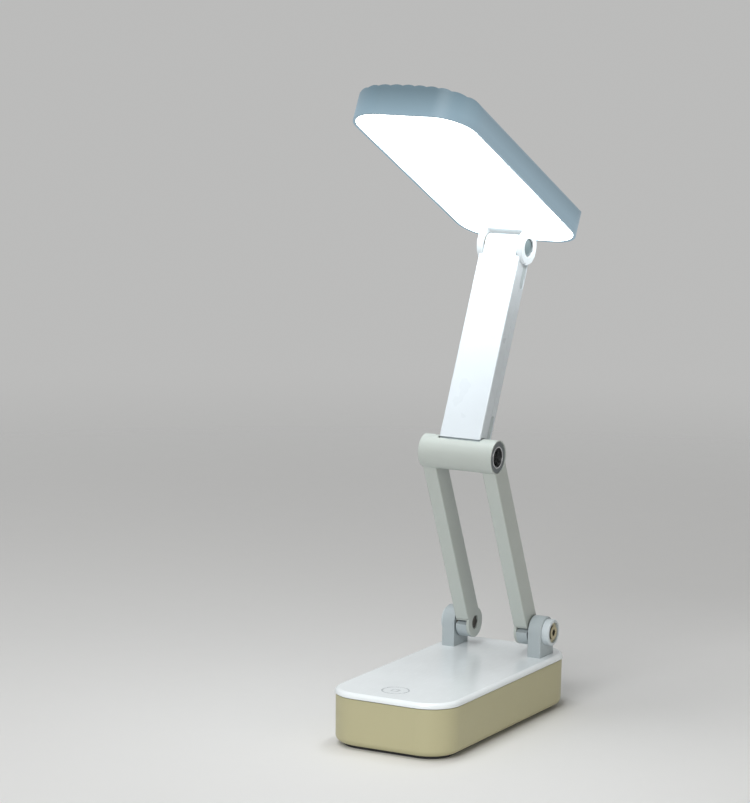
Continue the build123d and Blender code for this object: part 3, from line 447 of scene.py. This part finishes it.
def lit_diffuser(name):
    """Opal sheet lit from its long edges: even white light over a faint surface grain."""
    scene = bpy.context.scene
    graph = MaterialGraph(name)
    graph.set(Base_Color=opaque(OPAL_WHITE), Roughness=0.45)
    graph.set(Subsurface_Weight=0.2, Subsurface_Radius=(MM, MM, MM))
    light = tuple(scene.lamp_colours.panel_light)
    clouds = graph.noise(30 * MM, detail=1.0)
    graph.link(Emission_Color=graph.ramp(clouds, tinted(light, 0.97), light))
    graph.set(Emission_Strength=scene.lamp_finish.panel_strength)
    graph.link(Normal=graph.bump(graph.noise(0.4 * MM), 0.004 * MM, 0.6))
    return graph


def clear_acrylic(name):
    """Clear light guide with a fine dot pattern on it."""
    graph = MaterialGraph(name)
    graph.set(IOR=1.49, Transmission_Weight=0.9)
    dots = graph.add("ShaderNodeTexVoronoi")
    dots.inputs["Scale"].default_value = 1.0 / (1.5 * MM)
    graph.join(graph.place(), dots.inputs["Vector"])
    graph.link(Base_Color=graph.ramp(dots.outputs["Distance"], CLEAR, CLEAR_DOT, 0.25, 0.3))
    graph.link(Roughness=graph.ramp(dots.outputs["Distance"], 0.5, 0.06, 0.25, 0.3))
    return graph


def circuit_board(name, mask, copper):
    """Solder mask over copper tracks."""
    graph = MaterialGraph(name)
    graph.set(Coat_Weight=0.4, Coat_Roughness=0.2)
    tracks = graph.add("ShaderNodeTexBrick", offset=0.37)
    tracks.inputs["Scale"].default_value = 1.0 / (9 * MM)
    tracks.inputs["Mortar Size"].default_value = 0.035
    tracks.inputs["Color1"].default_value = opaque(mask)
    tracks.inputs["Color2"].default_value = opaque(tinted(mask, 0.85))
    tracks.inputs["Mortar"].default_value = opaque(copper)
    graph.join(graph.place(), tracks.inputs["Vector"])
    graph.link(Base_Color=tracks.outputs["Color"])
    graph.link(Roughness=graph.ramp(graph.noise(3 * MM, detail=3.0), 0.28, 0.42))
    graph.link(Normal=graph.bump(tracks.outputs["Fac"], 0.03 * MM, 0.6))
    return graph


def cast_iron(name):
    """Plain cast plate with an oiled, pitted skin."""
    graph = MaterialGraph(name)
    graph.set(Metallic=0.85)
    pits = graph.noise(1.2 * MM, detail=6.0, roughness=0.7)
    graph.link(Base_Color=graph.ramp(pits, IRON_PIT, IRON_SKIN, 0.35, 0.7))
    graph.link(Roughness=graph.ramp(pits, 0.65, 0.42, 0.35, 0.7))
    graph.link(Normal=graph.bump(pits, 0.08 * MM, 0.9))
    return graph


def dress(graph, *names):
    """Give CAD nodes a finish."""
    for name in names:
        mesh = frame["nodes"][name].data
        mesh.materials.clear()
        mesh.materials.append(graph.material)


def dress_pair(graph, *names):
    """Give the right and the left of each of these nodes a finish."""
    for name in names:
        dress(graph, f"{name}_right", f"{name}_left")


# ---------------------------------------------------------------- stage
def lay_floor(stage):
    """Round pale sheet that fades out into the backdrop on every side."""
    sheet = bmesh.new()
    bmesh.ops.create_circle(sheet, cap_ends=True, segments=FLOOR_SIDES, radius=FADE_END)
    mesh = bpy.data.meshes.new("floor")
    sheet.to_mesh(mesh)
    sheet.free()
    graph = MaterialGraph("pale_floor")
    base = tuple(stage.floor_colour)
    graph.set(Specular_IOR_Level=0.2)
    graph.link(Base_Color=graph.ramp(graph.noise(0.5), tinted(base, 0.985), base))
    graph.link(Roughness=graph.ramp(graph.noise(0.02, detail=3.0), 0.55, 0.65))
    away = graph.add("ShaderNodeVectorMath", operation="LENGTH")
    graph.join(graph.place(), away.inputs[0])
    fade = graph.spread(away.outputs["Value"], FADE_START, FADE_END, curve="SMOOTHSTEP")
    nothing = graph.add("ShaderNodeBsdfTransparent").outputs["BSDF"]
    graph.blend_shaders(fade, graph.shader.outputs["BSDF"], nothing, "Material Output")
    mesh.materials.append(graph.material)
    floor = bpy.data.objects.new("floor", mesh)
    bpy.context.scene.collection.objects.link(floor)


def hang_light(name, place, power, tint):
    lamp = bpy.data.lights.new(name, "AREA")
    lamp.shape = "DISK"
    lamp.size = LIGHT_SIZE
    lamp.energy = power
    lamp.color = tint
    holder = bpy.data.objects.new(name, lamp)
    holder.location = place
    holder.rotation_mode = "QUATERNION"
    holder.rotation_quaternion = (LIGHT_TARGET - place).to_track_quat("-Z", "Y")
    bpy.context.scene.collection.objects.link(holder)


def light_room(scene):
    """Even dim light all round, before a pale backdrop that only the eye and gloss see."""
    world = bpy.data.worlds.new("room")
    scene.world = world
    world.use_nodes = True
    graph = NodeGraph(world.node_tree)
    light = graph.tree.nodes["Background"]
    light.inputs["Color"].default_value = opaque(WHITE)
    light.inputs["Strength"].default_value = scene.lamp_stage.sky_strength
    backdrop = graph.add("ShaderNodeBackground")
    backdrop.inputs["Color"].default_value = opaque(scene.lamp_stage.backdrop_colour)
    rays = graph.add("ShaderNodeLightPath")
    seen = graph.add("ShaderNodeMath", operation="MAXIMUM")
    graph.join(rays.outputs["Is Camera Ray"], seen.inputs[0])
    graph.join(rays.outputs["Is Glossy Ray"], seen.inputs[1])
    graph.blend_shaders(
        seen.outputs["Value"],
        light.outputs["Background"],
        backdrop.outputs["Background"],
        "World Output",
    )


def aim_camera(scene):
    """Camera at the photograph's angle: turned to the lamp's right and a little above it."""
    back = Vector(
        (
            sin(CAMERA_YAW) * cos(CAMERA_PITCH),
            -cos(CAMERA_YAW) * cos(CAMERA_PITCH),
            sin(CAMERA_PITCH),
        )
    )
    right = Vector((0, 0, 1)).cross(back).normalized()
    up = back.cross(right)
    axis_x = cos(CAMERA_ROLL) * right + sin(CAMERA_ROLL) * up
    axis_y = -sin(CAMERA_ROLL) * right + cos(CAMERA_ROLL) * up
    turn = Matrix((axis_x, axis_y, back)).transposed().to_4x4()
    data = bpy.data.cameras.new("camera")
    data.sensor_width = SENSOR_WIDTH_MM
    data.lens = LENS_MM
    data.clip_end = CAMERA_REACH
    camera = bpy.data.objects.new("camera", data)
    camera.matrix_world = Matrix.Translation(CAMERA_TARGET + back * CAMERA_DISTANCE) @ turn
    scene.collection.objects.link(camera)
    scene.camera = camera


# ---------------------------------------------------------------- operators
class LAMP_OT_dress_base(Operator):
    """Finish the base: tub, polished cover, pad, touch mark and all that is inside"""

    bl_idname = "lamp.dress_base"
    bl_label = "Dress Base"

    def execute(self, context):
        colours = context.scene.lamp_colours
        dress(moulded_plastic("tub_satin_and_bounce", colours.tub_plastic, roughness=0.42), "base_tub")
        dress(polished_plastic("cover_polish", colours.cover_plastic, roughness=0.2), "base_cover")
        dress(soft_rubber("pad_silicone", PAD_BLACK), "foot_pad")
        dress(polished_plastic("touch_inlay", colours.touch_print, roughness=0.3), "touch_ring")
        screw = turned_metal("zinc_screw", SCREW_ZINC, roughness=0.32)
        dress(screw, "base_screws", "board_screws")
        small_screw = turned_metal("board_zinc", SMALL_SCREW_ZINC, roughness=0.3)
        dress(small_screw, "touch_board_screws", "ear_screws")
        dress(cast_iron("ballast_iron"), "ballast_plate")
        dress(moulded_plastic("cradle_black", CRADLE_BLACK, roughness=0.5), "battery_cradle")
        dress(polished_plastic("cell_sleeve", CELL_BLUE, roughness=0.3), "battery_cell")
        dress(circuit_board("solder_mask", MASK_GREEN, TRACK_GREEN), "main_board", "touch_board")
        dress(moulded_plastic("component_black", COMPONENT_BLACK, roughness=0.4), "board_parts")
        dress(turned_metal("inlet_shell", INLET_ZINC, roughness=0.28), "charging_socket")
        dress(soft_rubber("sensor_foam", FOAM_BLACK), "touch_pad")
        return {"FINISHED"}


class LAMP_OT_dress_pivot(Operator):
    """Finish the pivot: ears, knobs, bolts, nuts and washers"""

    bl_idname = "lamp.dress_pivot"
    bl_label = "Dress Pivot"

    def execute(self, context):
        colours = context.scene.lamp_colours
        dress_pair(moulded_plastic("ear_satin_and_shade", colours.ear_plastic_and_shade, roughness=0.36), "ear")
        knob = moulded_plastic("knob_satin_and_shade", colours.knob_plastic_and_shade, roughness=0.34)
        dress_pair(knob, "pivot_knob")
        dress(brass_head("bolt_brass_right", BOLT_FACE_RIGHT), "pivot_bolt_right")
        dress(brass_head("bolt_brass_left", BOLT_FACE_LEFT), "pivot_bolt_left")
        nut = turned_metal("nut_dark_zinc", NUT_DARK, roughness=0.4, metallic=0.6)
        dress_pair(nut, "pivot_nut")
        washer = turned_metal("dull_brass", WASHER_BRASS, roughness=0.5, metallic=0.2)
        dress_pair(washer, "pivot_washer")
        fibre = moulded_plastic("friction_fibre", FIBRE_BROWN, roughness=0.6, grain=3.0)
        dress_pair(fibre, "friction_washer")
        return {"FINISHED"}


class LAMP_OT_dress_fork(Operator):
    """Finish the fork: frame, strips, lower knuckles and the elbow's bushings"""

    bl_idname = "lamp.dress_fork"
    bl_label = "Dress Fork"

    def execute(self, context):
        colours = context.scene.lamp_colours
        satin = moulded_plastic("fork_satin_and_shade", colours.fork_plastic_and_shade, roughness=0.22)
        dress(satin, "fork_frame")
        dress_pair(satin, "leg_cover")
        knuckle = moulded_plastic("fork_knuckle_satin_and_shade", colours.ear_plastic_and_shade, roughness=0.36)
        dress_pair(knuckle, "fork_knuckle")
        bushing = moulded_plastic("bushing_dark", colours.bushing_plastic, roughness=0.3)
        dress_pair(bushing, "elbow_bushing")
        return {"FINISHED"}


class LAMP_OT_dress_arm(Operator):
    """Finish the upper arm and the wrist: shells, knuckles, tubes, plugs, washers and screws"""

    bl_idname = "lamp.dress_arm"
    bl_label = "Dress Arm"

    def execute(self, context):
        colours = context.scene.lamp_colours
        satin = moulded_plastic("arm_satin", colours.arm_plastic, roughness=0.28)
        dress(satin, "arm_front_shell", "arm_back_cover")
        knuckle = moulded_plastic("arm_knuckle_grey", colours.knuckle_plastic, roughness=0.4)
        dress(knuckle, "arm_lower_knuckle", "arm_upper_knuckle")
        dress(turned_metal("arm_zinc", SMALL_SCREW_ZINC, roughness=0.3), "arm_screws")
        tube = turned_metal("hinge_tube", TUBE_STEEL, roughness=0.22)
        dress(tube, "elbow_tube", "wrist_tube")
        plug = moulded_plastic("plug_grey", colours.plug_plastic, roughness=0.45)
        dress_pair(plug, "wrist_plug")
        fibre = moulded_plastic("washer_fibre", FIBRE_BROWN, roughness=0.6, grain=3.0)
        dress_pair(fibre, "elbow_washer", "wrist_washer")
        return {"FINISHED"}


class LAMP_OT_dress_head(Operator):
    """Finish the head: fluted shell, bracket, lit diffuser and the light parts behind it"""

    bl_idname = "lamp.dress_head"
    bl_label = "Dress Head"

    def execute(self, context):
        colours = context.scene.lamp_colours
        dress(painted_glow_wall("head_painted_shade_and_glow", colours.head_plastic, roughness=0.4), "head_shell")
        bracket = painted_glow_lugs("bracket_painted_shade_and_glow", colours.bracket_plastic_and_shade, roughness=0.36)
        dress(bracket, "head_bracket")
        dress(turned_metal("bracket_zinc", SMALL_SCREW_ZINC, roughness=0.3), "bracket_screws")
        dress(lit_diffuser("opal_diffuser"), "diffuser")
        dress(clear_acrylic("guide_acrylic"), "light_guide")
        dress(moulded_plastic("reflector_film", FILM_WHITE, roughness=0.5), "reflector_sheet")
        dress(turned_metal("backing_sheet", BACKING_ZINC, roughness=0.35), "backing_plate")
        dress_pair(circuit_board("strip_board", STRIP_WHITE, STRIP_GOLD), "led_strip")
        dress_pair(polished_plastic("led_phosphor", PHOSPHOR_YELLOW, roughness=0.3), "leds")
        return {"FINISHED"}


class LAMP_OT_set_stage(Operator):
    """Lay the plain floor and set the lights, the room light and the camera"""

    bl_idname = "lamp.set_stage"
    bl_label = "Set Stage"

    def execute(self, context):
        scene = context.scene
        stage = scene.lamp_stage
        lay_floor(stage)
        hang_light("key", KEY_PLACE, stage.key_power, WHITE)
        hang_light("top", TOP_PLACE, stage.top_power, WHITE)
        hang_light("fill", FILL_PLACE, stage.fill_power, WARM)
        light_room(scene)
        aim_camera(scene)
        scene.view_settings.view_transform = "Standard"
        return {"FINISHED"}


# ---------------------------------------------------------------- panel and registration
STEPS = (
    LAMP_OT_dress_base,
    LAMP_OT_dress_pivot,
    LAMP_OT_dress_fork,
    LAMP_OT_dress_arm,
    LAMP_OT_dress_head,
    LAMP_OT_set_stage,
)
SETTINGS = {"lamp_colours": LampColours, "lamp_finish": LampFinish, "lamp_stage": LampStage}


class VIEW3D_PT_desk_lamp(Panel):
    """Steps and settings of the desk lamp"""

    bl_label = "Desk Lamp"
    bl_idname = "VIEW3D_PT_desk_lamp"
    bl_space_type = "VIEW_3D"
    bl_region_type = "UI"
    bl_category = "Desk Lamp"

    def draw(self, context):
        layout = self.layout
        for step in STEPS:
            layout.operator(step.bl_idname)
        for name, group in SETTINGS.items():
            box = layout.box()
            for setting in group.__annotations__:
                box.prop(getattr(context.scene, name), setting)


def register():
    for kind in (*SETTINGS.values(), *STEPS, VIEW3D_PT_desk_lamp):
        bpy.utils.register_class(kind)
    for name, group in SETTINGS.items():
        setattr(bpy.types.Scene, name, PointerProperty(type=group))


def unregister():
    for name in SETTINGS:
        delattr(bpy.types.Scene, name)
    for kind in reversed((*SETTINGS.values(), *STEPS, VIEW3D_PT_desk_lamp)):
        bpy.utils.unregister_class(kind)


def main():
    register()
    bpy.ops.lamp.dress_base()
    bpy.ops.lamp.dress_pivot()
    bpy.ops.lamp.dress_fork()
    bpy.ops.lamp.dress_arm()
    bpy.ops.lamp.dress_head()
    bpy.ops.lamp.set_stage()
    bpy.context.view_layer.update()


if __name__ == "__main__":
    main()
